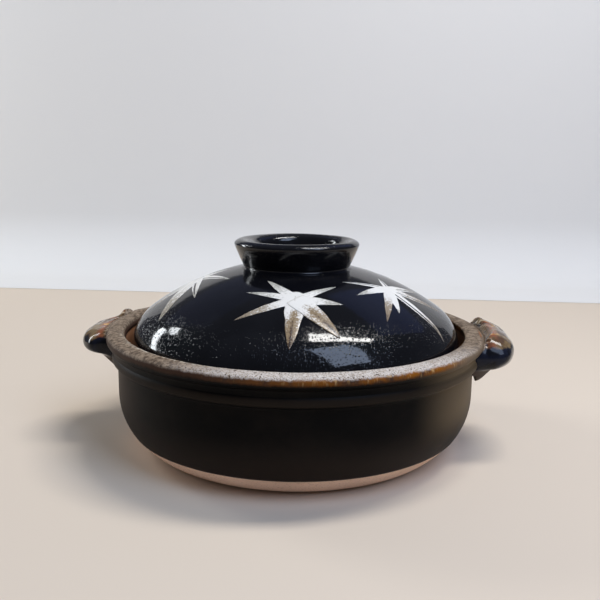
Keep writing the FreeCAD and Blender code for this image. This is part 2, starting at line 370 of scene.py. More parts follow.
def legs(bm, start, corners, segments=5):
    """Straight legs through corners (r, z, rounding), then the rounding; returns the last vertex."""
    here, to_round = start, []
    for r, z, rounding in corners:
        there = bm.verts.new((r, 0, z))
        bm.edges.new((here, there))
        if rounding:
            to_round.append((there, rounding))
        here = there
    for corner, rounding in to_round:
        bmesh.ops.bevel(bm, geom=[corner], offset=rounding, offset_type="OFFSET", segments=segments,
                        profile=0.5, affect="VERTICES", material=-1)
    return here


def rows(bm, longest):
    """Cuts the outline's long straight legs, so that later bends and dents have vertices to move."""
    for edge in [e for e in bm.edges if e.calc_length() > longest]:
        cuts = math.ceil(edge.calc_length() / longest) - 1
        bmesh.ops.subdivide_edges(bm, edges=[edge], cuts=cuts)


def turn_on_wheel(bm, steps):
    """Spins the outline round Z, closes seam and poles, and faces it outwards."""
    bmesh.ops.spin(bm, geom=bm.verts[:] + bm.edges[:], cent=(0, 0, 0), axis=(0, 0, 1), angle=2 * math.pi,
                   steps=steps, use_merge=True)
    bmesh.ops.remove_doubles(bm, verts=bm.verts[:], dist=0.01 * MM)
    bmesh.ops.recalc_face_normals(bm, faces=bm.faces[:])


# %% Piece tools
def piece(name, bm, body, material, replaced=None):
    """Makes a finished object that rides on a body."""
    made = new_object(name, bm, material)
    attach(made, body)
    if replaced:
        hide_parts(replaced)
    return made


def thicken(made, name, thickness):
    """Gives a skin its thickness, inwards."""
    coat = made.modifiers.new(name, "SOLIDIFY")
    coat.thickness = thickness
    coat.offset = -1.0


def ramp(value, low, high):
    """0 at low, 1 at high, straight in between and level beyond; low may be the larger one."""
    return min(1.0, max(0.0, (value - low) / (high - low)))


def bell(value, middle, width):
    """1 at the middle, fading softly to 0 on both sides."""
    return math.exp(-((value - middle) / width) ** 2)


# %% [markdown]
# ## Pot glaze
# The outer glaze is a satin dark brown that starts in a soft bead above the foot, runs up the wall over a low
# ridge, and turns dry and speckled on the broad rim. On the sharp outer edge of the rim it thins and breaks
# to orange. Some of its colour is painted light: a sheen on the wall's right side, a warm reflection on its left
# side, warm bounce light low down, a highlight along the ridge, a paler sheen on the rim's front and gold
# highlights in the orange. The skin is turned in one piece, then pushed in and out by a fraction of a
# millimetre, because a hand-thrown wall is never quite true. One finish covers it, and masks of height and
# radius pick the zones.

# %% Pot glaze sizes
GLAZE_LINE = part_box("pot_outer_glaze")[0].z
RIM_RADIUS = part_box("pot_outer_glaze")[1].y
RIM_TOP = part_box("pot_outer_glaze")[1].z
HEEL_CENTRE = (78.8 * MM, 39.35 * MM)
HEEL_RADIUS = 44.1 * MM
WALL_RADIUS = HEEL_CENTRE[0] + HEEL_RADIUS
RIDGE_RADIUS = WALL_RADIUS + 3.6 * MM
RIDGE_FOOT = 60.5 * MM
RIDGE_LOW = 62.6 * MM
RIDGE_HIGH = 66.7 * MM
NECK_RADIUS = WALL_RADIUS + 2.6 * MM
NECK_LOW = 67.9 * MM
NECK_HIGH = 71.4 * MM
RIM_UNDERSIDE = 74.6 * MM
LIP_RADIUS = RIM_RADIUS - 12.0 * MM
LIP_RISE = 1.2 * MM
LIP_DEPTH = 4.5 * MM
COAT = 0.6 * MM
print("glaze line", round(GLAZE_LINE, 4), "rim", round(RIM_RADIUS, 4), round(RIM_TOP, 4))

# %% Pot glaze on the wall
WALL_DARK = (0.0008, 0.0008, 0.0009)
WALL_BROWN = (0.0050, 0.0036, 0.0028)
WALL_RIGHT_SHEEN = (0.150, 0.105, 0.058)
WALL_LEFT_REFLECTION = (0.040, 0.021, 0.011)
WALL_LOW_BOUNCE = (0.017, 0.0115, 0.0085)
RIDGE_HIGHLIGHT = (0.026, 0.018, 0.012)
FRONT_WAY = (0.34, -0.94, 0.0)
RIGHT_WAY = (0.97, -0.24, 0.0)


def how_far(tree, place, way):
    """How far a point lies from the pot's axis in a level direction."""
    return add(tree, "VectorMath", {0: place, 1: way}, operation="DOT_PRODUCT").outputs["Value"]


pot_glaze, tree, shader, place = new_finish("pot_glaze")
height = height_of(tree, place)
to_front = how_far(tree, place, FRONT_WAY)
to_right = how_far(tree, place, RIGHT_WAY)
cloud = speckle(tree, place, 30.0, detail=5.0, roughness=0.6)
grit = speckle(tree, place, 1300.0)
wall = blend(tree, between(tree, cloud, 0.38, 0.68), WALL_DARK, WALL_BROWN)
# Painted sheen: the wall's right side is painted a lighter brown for the grazing light from the right.
wall = blend(tree, between(tree, to_right, 96.0 * MM, 126.0 * MM), wall, WALL_RIGHT_SHEEN)
# Painted reflection: the left side is painted warm brown for the warm floor mirrored there.
wall = blend(tree, between(tree, to_right, -55.0 * MM, -120.0 * MM), wall, WALL_LEFT_REFLECTION)
# Painted bounce light: low down the wall is painted a lighter, warmer brown for light thrown up by the floor.
wall = blend(tree, between(tree, height, 46.0 * MM, 20.0 * MM), wall, WALL_LOW_BOUNCE)
# Painted highlight: the ridge is painted half way to a lighter brown for the light along its edge.
on_ridge = times(tree, between(tree, height, RIDGE_LOW - 1.4 * MM, RIDGE_LOW + 0.6 * MM),
                 between(tree, height, RIDGE_HIGH + 1.3 * MM, RIDGE_HIGH - 0.5 * MM))
wall = blend(tree, times(tree, on_ridge, 0.5), wall, RIDGE_HIGHLIGHT)
print("wall colours need", len(tree.nodes), "nodes")

# %% Pot glaze on the rim
RIM_BROWN = (0.095, 0.064, 0.042)
RIM_MIST = (0.28, 0.208, 0.142)
RIM_DUSK = (0.29, 0.215, 0.145)
RIM_FRONT_SHEEN = (0.62, 0.565, 0.51)
RIM_FLECK = (0.84, 0.76, 0.60)
RIM_SPECK = (0.055, 0.036, 0.024)

mottle = speckle(tree, place, 330.0, detail=4.0, roughness=0.6)
frost = blend(tree, between(tree, mottle, 0.36, 0.62), RIM_BROWN, RIM_MIST)
# Painted sheen: towards the front the rim is painted a paler copy of its glaze, for the light falling on it.
front_sheen = blend(tree, between(tree, grit, 0.32, 0.58), RIM_DUSK, RIM_FRONT_SHEEN)
rim_with_front_sheen = blend(tree, between(tree, to_front, 73.0 * MM, 122.0 * MM), frost, front_sheen)
rim_with_front_sheen = blend(tree, between(tree, speckle(tree, place, 820.0), 0.58, 0.68), rim_with_front_sheen, RIM_SPECK)
by_lip = between(tree, radius_of(tree, place), LIP_RADIUS + 5.0 * MM, LIP_RADIUS + 1.4 * MM)
front_left = times(tree, between(tree, to_front, -10.0 * MM, 50.0 * MM),
                   between(tree, to_right, 10.0 * MM, -50.0 * MM))
flecks = times(tree, by_lip, between(tree, speckle(tree, place, 520.0, detail=3.0), 0.50, 0.60))
rim_with_front_sheen = blend(tree, times(tree, flecks, front_left), rim_with_front_sheen, RIM_FLECK)
print("with the rim", len(tree.nodes), "nodes")

# %% Pot glaze where it breaks on the rim's edge
BREAK_ORANGE = (0.225, 0.075, 0.007)
BREAK_GOLD_GLINT = (0.40, 0.24, 0.10)
BREAK_BROWN = (0.052, 0.027, 0.017)
BREAK_DRY = (0.15, 0.105, 0.068)
MELT = 2.0 * MM

drift = speckle(tree, place, 110.0, detail=3.0)
drips_and_glints = speckle(tree, moved(tree, place, "Scale", (1.0, 1.0, 0.25)), 420.0, detail=3.0)
edge_height = minus(tree, height, times(tree, plus(tree, drift, drips_and_glints), MELT))
on_rim = between(tree, edge_height, RIM_TOP - 4.2 * MM, RIM_TOP - 2.4 * MM)
near_rim = between(tree, edge_height, RIM_TOP - 7.6 * MM, RIM_TOP - 5.0 * MM)
warm = between(tree, to_right, -30.0 * MM, 85.0 * MM)
burnt = blend(tree, times(tree, between(tree, drift, 0.32, 0.58), warm), BREAK_BROWN, BREAK_ORANGE)
# Painted highlights: gold spots in the orange stand for its yellowish glints.
burnt = blend(tree, times(tree, between(tree, drips_and_glints, 0.54, 0.70), warm), burnt, BREAK_GOLD_GLINT)
burnt = blend(tree, between(tree, to_right, 110.0 * MM, 126.0 * MM), burnt, BREAK_DRY)
colour = blend(tree, on_rim, blend(tree, near_rim, wall, burnt), rim_with_front_sheen)
connect(tree, shader, colour=colour, roughness=from_to(tree, on_rim, 0.52, 0.58),
        normal=relief(tree, plus(tree, grit, cloud), 0.25, 0.25 * MM))
shader.inputs["Specular IOR Level"].default_value = 0.08
print(pot_glaze.name, len(tree.nodes), "nodes")

# %% Turn the pot's glaze
SWAY = 0.12 * MM
SWAY_INWARD = 0.14 * MM
RIM_WAVE = 0.2 * MM
RIM_TILT = 0.7 * MM
LIP_SHIFT = 0.9 * MM
SMEAR_PLACE = Vector((-127.5 * MM, 29.0 * MM, RIM_TOP))
SMEAR_SIZE = 11.0 * MM
SMEAR_HEIGHT = 1.3 * MM
POT_STEPS = 300


def sway_pot(bm):
    """The small errors of a thrown pot: an untrue wall, a wavy tilted rim and a smear of glaze on it."""
    for v in bm.verts:
        sway = noise.noise(v.co * 22.0) + 0.5 * noise.noise(v.co * 60.0)
        v.co += Vector((v.co.x, v.co.y, 0)).normalized() * (SWAY * sway - SWAY_INWARD)
        on_rim = ramp(v.co.z, RIM_TOP - 5.0 * MM, RIM_TOP - 1.0 * MM)
        smear = SMEAR_HEIGHT * bell((v.co - SMEAR_PLACE).length, 0.0, SMEAR_SIZE)
        tilt = -RIM_TILT * v.co.x / RIM_RADIUS
        by_lip = ramp(math.hypot(v.co.x, v.co.y), 126.0 * MM, 119.0 * MM)
        v.co.x -= LIP_SHIFT * on_rim * by_lip
        wave = RIM_WAVE * (noise.noise(v.co * 35.0) - 1.0)
        v.co.z += on_rim * (wave + smear + tilt)


def make_pot_glaze():
    bm = bmesh.new()
    low = math.asin((GLAZE_LINE - HEEL_CENTRE[1]) / HEEL_RADIUS)
    start = bm.verts.new((HEEL_CENTRE[0] + HEEL_RADIUS * math.cos(low), 0, GLAZE_LINE))
    wall_foot = arc(bm, start, HEEL_CENTRE, -math.degrees(low), 20)
    legs(bm, wall_foot, [
        (WALL_RADIUS, RIDGE_FOOT, 1.2 * MM),
        (RIDGE_RADIUS, RIDGE_LOW, 1.0 * MM),
        (RIDGE_RADIUS, RIDGE_HIGH, 1.4 * MM),
        (NECK_RADIUS, NECK_LOW, 1.4 * MM),
        (NECK_RADIUS, NECK_HIGH, 1.2 * MM),
        (RIM_RADIUS, RIM_UNDERSIDE, 1.8 * MM),
        (RIM_RADIUS, RIM_TOP, 2.9 * MM),
        (LIP_RADIUS + 2.0 * MM, RIM_TOP + LIP_RISE, 2.2 * MM),
        (LIP_RADIUS - 0.2 * MM, RIM_TOP + LIP_RISE - 1.4 * MM, 1.2 * MM),
        (LIP_RADIUS - 0.75 * MM, RIM_TOP - LIP_DEPTH, 0),
    ])
    rows(bm, 1.6 * MM)
    turn_on_wheel(bm, POT_STEPS)
    sway_pot(bm)
    return bm


pot_skin = piece("pot_glaze_skin", make_pot_glaze(), "pot", pot_glaze, "pot_outer_glaze")
thicken(pot_skin, "coat", 0.5 * COAT)

# %% [markdown]
# ## Lid glaze
# The lid is glossy black. High on the dome the glaze is smooth as glass, lower down it boiled in the kiln and
# healed to fine pimples, so a lamp that is one clean band above breaks up into sparks below. Low waves of the
# skin are real, and the finest pimples are a bump on top. The skin is a closed section: the outer face is
# dense, the hidden inner face is coarse.

# %% Lid glaze sizes
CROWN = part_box("lid_dome")[1].z + COAT
EDGE_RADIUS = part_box("lid_outer_glaze")[1].x
EDGE_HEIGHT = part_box("lid_outer_glaze")[0].z
SHOULDER = 31.8 * MM
SHOULDER_CENTRE = (EDGE_RADIUS - SHOULDER, EDGE_HEIGHT)
rise = CROWN - EDGE_HEIGHT
DOME = (SHOULDER_CENTRE[0] ** 2 + rise ** 2 - SHOULDER ** 2) / (2 * (rise - SHOULDER))
DOME_CENTRE = CROWN - DOME
MEET = math.atan2(EDGE_HEIGHT - DOME_CENTRE, SHOULDER_CENTRE[0])
MEET_RADIUS = SHOULDER_CENTRE[0] + SHOULDER * math.cos(MEET)
print("dome radius", round(DOME, 4), "centre", round(DOME_CENTRE, 4))
print("dome meets shoulder at", round(math.degrees(MEET), 1), "degrees, radius", round(MEET_RADIUS, 4))

# %% Lid glaze finish
INK = (0.0030, 0.0032, 0.0045)
INK_PALER = (0.0055, 0.0058, 0.0075)
PIMPLES = ((560.0, 1.0), (1100.0, 0.6))

lid_glaze, tree, shader, place = new_finish("lid_glaze")
height = height_of(tree, place)
boiled = plus(tree, between(tree, height, 106.0 * MM, 90.0 * MM),
              between(tree, height, 121.0 * MM, 126.0 * MM, 0.0, 0.5))
bumps = times(tree, speckle(tree, place, 150.0), 0.25)
for scale, share in PIMPLES:
    cells = add(tree, "TexVoronoi", {"Vector": place, "Scale": scale, "Randomness": 1.0})
    blister = between(tree, cells.outputs["Distance"], 0.40, 0.0)
    chance = add(tree, "SeparateColor", {0: cells.outputs["Color"]}).outputs[0]
    pimple = times(tree, blister, between(tree, chance, 0.3, 1.0, 0.0, share))
    bumps = plus(tree, bumps, times(tree, pimple, boiled))
ink = blend(tree, between(tree, speckle(tree, place, 40.0, detail=4.0), 0.4, 0.7), INK, INK_PALER)
connect(tree, shader, colour=ink, roughness=between(tree, height, 112.0 * MM, 94.0 * MM, 0.11, 0.07),
        normal=relief(tree, bumps, 0.8, 0.26 * MM))
shader.inputs["Specular IOR Level"].default_value = 0.34
print(lid_glaze.name, len(tree.nodes), "nodes")

# %% Turn the lid's glaze
SKIN_START = 34.5 * MM
LID_WAVE = 0.05 * MM
LID_STEPS = 560
WAVES_FROM = 100.0 * MM
WAVES_FULL = 88.0 * MM


def on_outer_face(spot):
    """Whether a place lies on the skin's outer face, and not on the hidden one."""
    r = math.hypot(spot.x, spot.y)
    if r < MEET_RADIUS:
        return math.hypot(r, spot.z - DOME_CENTRE) > DOME - 0.1 * MM
    return math.hypot(r - SHOULDER_CENTRE[0], spot.z - EDGE_HEIGHT) > SHOULDER - 0.1 * MM


def make_lid_glaze():
    bm = bmesh.new()
    start_angle = math.acos(SKIN_START / DOME)
    start = bm.verts.new((SKIN_START, 0, DOME_CENTRE + DOME * math.sin(start_angle)))
    meet = arc(bm, start, (0, DOME_CENTRE), math.degrees(MEET - start_angle), 46)
    edge = arc(bm, meet, SHOULDER_CENTRE, -math.degrees(MEET), 42)
    under = bm.verts.new((EDGE_RADIUS - COAT, 0, EDGE_HEIGHT))
    bm.edges.new((edge, under))
    back = arc(bm, under, SHOULDER_CENTRE, math.degrees(MEET), 10)
    end = arc(bm, back, (0, DOME_CENTRE), math.degrees(start_angle - MEET), 12)
    bm.edges.new((end, start))
    turn_on_wheel(bm, LID_STEPS)
    for v in bm.verts:
        if on_outer_face(v.co):
            band = ramp(v.co.z, WAVES_FROM, WAVES_FULL)
            wave = noise.noise(v.co * 130.0) + 0.6 * noise.noise(v.co * 60.0)
            v.co += v.normal * (LID_WAVE * band * (wave - 1.0))
    return bm


lid_skin = piece("lid_glaze_skin", make_lid_glaze(), "lid", lid_glaze, "lid_outer_glaze")

# %% Drill the steam hole
VENT_PLACE = Vector((0, 62.0 * MM, 0))
VENT_RADIUS = 4.2 * MM
DRILL_LENGTH = 0.2


def settle(target):
    """Turns a piece's modifiers into its mesh."""
    ready = target.evaluated_get(bpy.context.evaluated_depsgraph_get())
    settled = bpy.data.meshes.new_from_object(ready)
    target.modifiers.clear()
    settled.name = target.data.name
    target.data = settled


def carve(target, bm, how="DIFFERENCE"):
    """Cuts a piece by a closed tool, or trims it to the tool, and keeps the result as its mesh."""
    mesh = bpy.data.meshes.new("tool")
    bm.to_mesh(mesh)
    bm.free()
    tool = bpy.data.objects.new("tool", mesh)
    scene.collection.objects.link(tool)
    cut = target.modifiers.new("cut", "BOOLEAN")
    cut.operation, cut.solver, cut.object = how, "EXACT", tool
    settle(target)
    bpy.data.objects.remove(tool)


bit = bmesh.new()
bmesh.ops.create_cone(bit, cap_ends=True, segments=32, radius1=VENT_RADIUS, radius2=VENT_RADIUS,
                      depth=DRILL_LENGTH,
                      matrix=Matrix.Translation(VENT_PLACE + Vector((0, 0, DRILL_LENGTH / 2))))
carve(lid_skin, bit)
print("lid skin after drilling", len(lid_skin.data.polygons), "faces")

# %% [markdown]
# ## Knob
# The knob is a flared ring, the lid's grip and, with the lid turned over, its foot. Its lip is a soft roll and
# glaze gathered in a small fillet where ring and dome meet. It is turned like the rest and left slightly
# uneven. The pool of glaze inside it keeps its CAD solid.

# %% Turn the knob
KNOB_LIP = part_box("lid_knob")[1].x
KNOB_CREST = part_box("lid_knob")[1].z
KNOB_FOOT = 37.0 * MM
KNOB_TOE = KNOB_FOOT + 2.2 * MM
KNOB_INNER = KNOB_FOOT - 10.0 * MM
KNOB_WAIST = (40.0 * MM, 130.4 * MM)
KNOB_LIP_LOW = 137.0 * MM
KNOB_LIP_MIDDLE = 139.3 * MM
KNOB_WAVE = 0.25 * MM
KNOB_WAVES_FROM = 126.0 * MM
KNOB_STEPS = 220
WELL_SHIFT = 1.3 * MM


def dome_height(r):
    return DOME_CENTRE + math.sqrt(DOME ** 2 - r ** 2)


def make_knob():
    bm = bmesh.new()
    start = bm.verts.new((KNOB_TOE, 0, dome_height(KNOB_TOE) - 0.15 * MM))
    end = legs(bm, start, [
        (KNOB_FOOT - 0.3 * MM, dome_height(KNOB_FOOT) + 0.7 * MM, 0.9 * MM),
        (*KNOB_WAIST, 5.0 * MM),
        (KNOB_LIP - 0.2 * MM, KNOB_LIP_LOW, 1.2 * MM),
        (KNOB_LIP + 0.3 * MM, KNOB_LIP_MIDDLE, 1.2 * MM),
        (KNOB_LIP - 2.4 * MM, KNOB_CREST - 0.3 * MM, 1.7 * MM),
        (KNOB_LIP - 6.2 * MM, KNOB_CREST + 0.2 * MM, 2.4 * MM),
        (KNOB_LIP - 12.6 * MM, KNOB_CREST - 2.2 * MM, 2.6 * MM),
        (KNOB_INNER + 0.6 * MM, dome_height(KNOB_INNER) + 2.0 * MM, 1.5 * MM),
        (KNOB_INNER - 1.5 * MM, dome_height(KNOB_INNER) + 0.2 * MM, 0),
        (KNOB_INNER, dome_height(KNOB_INNER) - 1.0 * MM, 0),
        (KNOB_TOE - 1.0 * MM, dome_height(KNOB_TOE) - 1.2 * MM, 0),
    ], segments=8)
    bm.edges.new((end, start))
    rows(bm, 1.5 * MM)
    turn_on_wheel(bm, KNOB_STEPS)
    for v in bm.verts:
        if v.co.z > KNOB_WAVES_FROM:
            v.co.z -= KNOB_WAVE * (1.0 + noise.noise(v.co * 30.0))
            v.co.x += WELL_SHIFT * ramp(math.hypot(v.co.x, v.co.y), 39.0 * MM, 33.0 * MM)
    return bm


piece("knob_ring", make_knob(), "lid", lid_glaze, "lid_knob")
wear("knob_well_glaze", lid_glaze)

# %% [markdown]
# ## Lug handles
# Each handle is a tongue of clay luted under the rim: a rounded loaf on top, a nose to lift by and a short leg
# that hangs behind the fingers. A loaf turned about its own axis, made fuller in plan, trimmed to a lying
# egg-shaped bar and cut back to the pot gives the lump. A voxel remesh then joins its faces like soft clay, and
# smoothing rounds the edges. Grooves, end bumps and the notched seam are pressed in last, vertex by vertex, as
# fingers would, and noted on the vertices, so that the finish can follow them: amber where the glaze ran thin on
# top, black where it is thick, and dull on the leg. Some of the colour is painted light: a blue sheen on the
# black, gold highlights on top, pale tan highlights on the raised flutes and seam beads, where the glaze also
# broke, and brown on the leg for the warm floor's reflection. The two lugs were pulled by hand and differ a
# little.

# %% Lug handle finish
LUG_BLACK = (0.0045, 0.0045, 0.0060)
LUG_BLUE_SHEEN = (0.010, 0.012, 0.022)
LUG_BROWN = (0.090, 0.050, 0.026)
LUG_OLIVE = (0.20, 0.135, 0.065)
LUG_RED = (0.24, 0.080, 0.036)
LUG_GOLD_GLINT = (0.62, 0.34, 0.08)
LUG_TAN_AND_HIGHLIGHT = (0.60, 0.48, 0.33)
LUG_POOL = (0.016, 0.011, 0.008)
LEG_FROM = 62.0 * MM
LEG_TO = 58.5 * MM
GLOSSY, DUSTY, DULL = 0.12, 0.5, 0.62

handle_glaze, tree, shader, place = new_finish("handle_glaze")
cloud = speckle(tree, place, 95.0, detail=4.0, roughness=0.55)
drift = speckle(tree, moved(tree, place, "Location", (0.3, 0.1, 0.2)), 120.0, detail=3.0)
grit = speckle(tree, place, 1000.0)
pressed = noted(tree, "pressed")
ember = noted(tree, "ember")
thin = blend(tree, between(tree, cloud, 0.40, 0.58), LUG_BROWN, LUG_OLIVE)
thin = blend(tree, times(tree, ember, between(tree, drift, 0.40, 0.52)), thin, LUG_RED)
# Painted highlights: small gold spots near the seam stand for yellow glints.
thin = blend(tree, times(tree, ember, between(tree, drift, 0.60, 0.66)), thin, LUG_GOLD_GLINT)
# Pale tan on raised flutes and seam beads: the glaze broke thin there, and painted highlights sit on them.
thin = blend(tree, between(tree, pressed, 0.25, 0.9, 0.0, 0.75), thin, LUG_TAN_AND_HIGHLIGHT)
thin = blend(tree, between(tree, pressed, -0.25, -0.9, 0.0, 0.7), thin, LUG_POOL)
# The black where the glaze is thick carries a painted blue sheen, for the sky mirrored in it.
thick_black_and_sheen = blend(tree, between(tree, drift, 0.38, 0.62), LUG_BLACK, LUG_BLUE_SHEEN)
broken = plus(tree, noted(tree, "face_up"), times(tree, minus(tree, cloud, 0.5), 1.1))
colour = blend(tree, between(tree, broken, 0.42, 0.72), thick_black_and_sheen, thin)
frost = blend(tree, between(tree, grit, 0.40, 0.60), RIM_BROWN, RIM_MIST)
dusty = between(tree, plus(tree, noted(tree, "seam"), times(tree, drift, 0.8)), 0.85, 1.15)
colour = blend(tree, dusty, colour, frost)
# Painted reflection: the leg is painted half way to brown for the warm floor mirrored in it; it is also made dull.
leg = between(tree, height_of(tree, place), LEG_FROM, LEG_TO)
colour = blend(tree, times(tree, leg, 0.5), colour, LUG_BROWN)
gloss = from_to(tree, leg, from_to(tree, dusty, GLOSSY, DUSTY), DULL)
connect(tree, shader, colour=colour, roughness=gloss, normal=relief(tree, drift, 0.15, 0.3 * MM))
shader.inputs["Specular IOR Level"].default_value = 0.18
print(handle_glaze.name, len(tree.nodes), "nodes")

# %% Lug sizes
LUG_AXIS = 108.5 * MM
LUG_LEG = 20.6 * MM
LUG_MIDDLE = 71.0 * MM
LUG_DEPTH = 26.5 * MM
LUG_NEAR_RISE = 15.5 * MM
LUG_FAR_RISE = 26.0 * MM
LUG_ROUGH_VOXEL = 1.1 * MM
LUG_VOXEL = 0.75 * MM
# Heights, distances from the lug's own axis and bumps, in millimetres; square says how boxy the plan is
LUGS = {
    "lug_right": {"replaces": "handle_right", "side": 1, "top": 85.0, "shoulder": 84.0, "brow": 74.6,
                  "chin": 61.4, "lip": 59.8, "hollow": 59.4, "tip": 45.8, "nose": 41.9, "square": 3.2,
                  "width": 35.0, "far": 2.2, "near": 0.9, "belly": 2.2, "dust": 2.0},
    "lug_left": {"replaces": "handle_left", "side": -1, "top": 81.6, "shoulder": 79.6, "brow": 72.4,
                 "chin": 64.6, "lip": 62.8, "hollow": 62.4, "tip": 47.0, "nose": 44.4, "square": 2.0,
                 "width": 33.5, "far": 5.6, "near": 0.4, "belly": 0.0, "dust": 5.0},
}
print("lugs", list(LUGS))


# %% Lump, bar and pot for a lug
def loaf(lug):
    """The lump of clay, turned about its own axis and made fuller in plan above the leg."""
    nose = lug["nose"] * MM
    bm = bmesh.new()
    start = bm.verts.new((0, 0, lug["top"] * MM))
    legs(bm, start, [
        (nose - 10.0 * MM, lug["shoulder"] * MM, 6.0 * MM),
        (nose, lug["brow"] * MM, 5.0 * MM),
        (nose, lug["chin"] * MM, 3.0 * MM),
        (nose - 3.2 * MM, lug["lip"] * MM, 2.2 * MM),
        (nose - 9.5 * MM, lug["hollow"] * MM, 2.6 * MM),
        (LUG_LEG, lug["tip"] * MM, 1.2 * MM),
        (0, lug["tip"] * MM, 0),
    ])
    turn_on_wheel(bm, 96)
    for v in bm.verts:
        round_way = math.atan2(v.co.y, v.co.x)
        power = 2.0 + (lug["square"] - 2.0) * ramp(v.co.z, 62.0 * MM, 76.0 * MM)
        fuller = (abs(math.cos(round_way)) ** power + abs(math.sin(round_way)) ** power) ** (-1 / power)
        v.co.x, v.co.y = v.co.x * fuller, v.co.y * fuller
    bmesh.ops.translate(bm, verts=bm.verts[:], vec=(LUG_AXIS, 0, 0))
    return bm


def tongue(lug):
    """A lying bar of oval section that narrows the lump downwards."""
    bm = bmesh.new()
    bmesh.ops.create_cone(bm, cap_ends=True, segments=96, radius1=1.0, radius2=1.0, depth=0.12)
    bmesh.ops.rotate(bm, verts=bm.verts[:], cent=(0, 0, 0), matrix=Matrix.Rotation(math.pi / 2, 3, "Y"))
    for v in bm.verts:
        rise = LUG_NEAR_RISE if v.co.y < 0 else LUG_FAR_RISE
        v.co.y *= lug["width"] * MM
        v.co.z *= rise if v.co.z > 0 else LUG_DEPTH
    bmesh.ops.translate(bm, verts=bm.verts[:], vec=(0.14, 0, LUG_MIDDLE))
    return bm


def pot_tool():
    """What the pot takes away from a lug: the rim's edge, the neck and the gap behind the leg's tip."""
    bm = bmesh.new()
    start = bm.verts.new((0, 0, 0.03))
    legs(bm, start, [
        (124.6 * MM, 0.03, 0),
        (124.6 * MM, 53.6 * MM, 1.0 * MM),
        (122.4 * MM, 54.6 * MM, 0),
        (122.4 * MM, 61.0 * MM, 0),
        (124.6 * MM, 63.0 * MM, 0),
        (124.6 * MM, 74.6 * MM, 0),
        (128.0 * MM, 75.6 * MM, 0),
        (130.2 * MM, 79.4 * MM, 1.2 * MM),
        (133.2 * MM, 83.4 * MM, 2.4 * MM),
        (140.0 * MM, 86.0 * MM, 0),
        (140.0 * MM, 0.1, 0),
        (0, 0.1, 0),
    ])
    turn_on_wheel(bm, 240)
    return bm


# %% Fingers for a lug
SEAM_RADIUS = 131.5 * MM
SEAM_BEAD = 3.3 * MM
DUST_RADIUS = 129.5 * MM
EMBER_RADIUS = 134.6 * MM
FLUTE_START = 24.0 * MM
FLUTE_STEP = 5.2 * MM
END_BUMP = (25.5 * MM, 132.0 * MM)
BELLY = (-34.0 * MM, 69.0 * MM)


def remesh(target, size):
    """Voxels of one size all over, so that smoothing treats every place alike."""
    voxels = target.modifiers.new("voxels", "REMESH")
    voxels.mode, voxels.voxel_size = "VOXEL", size
    settle(target)


def soften(bm, times_over):
    for _ in range(times_over):
        bmesh.ops.smooth_vert(bm, verts=bm.verts[:], factor=0.5, use_axis_x=True, use_axis_y=True,
                              use_axis_z=True)


def press(bm, lug):
    """Presses grooves, end bumps and the notched seam, and notes them for the finish."""
    face_up = bm.verts.layers.float.new("face_up")
    pressed = bm.verts.layers.float.new("pressed")
    seam = bm.verts.layers.float.new("seam")
    ember = bm.verts.layers.float.new("ember")
    for v in bm.verts:
        x, y, z = v.co
        out = math.hypot(x, y)
        reach = math.hypot(x - LUG_AXIS, y)
        on_top = ramp(v.normal.z, 0.15, 0.55)
        flutes = math.sin((reach - FLUTE_START) / FLUTE_STEP * 2 * math.pi)
        flutes *= on_top * ramp(reach, 22.0 * MM, 26.0 * MM) * ramp(y, -18.0 * MM, 12.0 * MM)
        notch = bell(out, SEAM_RADIUS, 1.3 * MM) * on_top
        beads = 0.5 + 0.5 * math.cos(y / SEAM_BEAD * 2 * math.pi)
        bump = bell(abs(y), END_BUMP[0], 6.0 * MM) * bell(out, END_BUMP[1], 4.2 * MM)
        bump *= max(0.0, v.normal.z) * (lug["far"] if y > 0 else lug["near"])
        belly = lug["belly"] * bell(y, BELLY[0], 8.0 * MM) * bell(z, BELLY[1], 6.0 * MM)
        wave = noise.noise(v.co * 70.0) + 0.6 * noise.noise(v.co * 160.0)
        v[face_up] = v.normal.z
        v[pressed] = 0.8 * flutes - notch * (1.0 - 1.7 * beads)
        v[ember] = bell(out, EMBER_RADIUS, 2.6 * MM) * on_top
        v[seam] = max(0.0, 1.0 - (out - DUST_RADIUS) / (lug["dust"] * MM)) * on_top
        push = 0.28 * flutes - 0.7 * notch * (1.0 - 0.7 * beads) + bump + belly + 0.3 * (wave - 1.0)
        v.co += v.normal * (push * MM)


# %% Turn, trim and sculpt the lugs
def make_lug(name, lug):
    made = piece(name, loaf(lug), "pot", handle_glaze, lug["replaces"])
    carve(made, tongue(lug), "INTERSECT")
    remesh(made, LUG_ROUGH_VOXEL)
    bm = bmesh.new()
    bm.from_mesh(made.data)
    soften(bm, 34)
    bm.to_mesh(made.data)
    bm.free()
    carve(made, pot_tool())
    remesh(made, LUG_VOXEL)
    bm = bmesh.new()
    bm.from_mesh(made.data)
    soften(bm, 5)
    bm.normal_update()
    press(bm, lug)
    bmesh.ops.scale(bm, vec=(lug["side"], 1, 1), verts=bm.verts[:])
    bmesh.ops.recalc_face_normals(bm, faces=bm.faces[:])
    bm.to_mesh(made.data)
    bm.free()
    made.data.shade_smooth()
    print(name, len(made.data.polygons), "faces after sculpting")


for name, lug in LUGS.items():
    make_lug(name, lug)

# %% [markdown]
# ## Brushed leaves
# Maple leaves are painted on the lid in white slip, one pull of the brush for each lobe: it lands full at the
# heart of the leaf and lifts off towards the tip, where the slip thins and the iron below shows brown. Each
# pull here is a small grid, bent into a lobe in the flat, laid down on the dome by casting rays at the lid, and
# raised in the middle. Some lobes have a vein scratched through to the black, off their middle as in a quick hand.

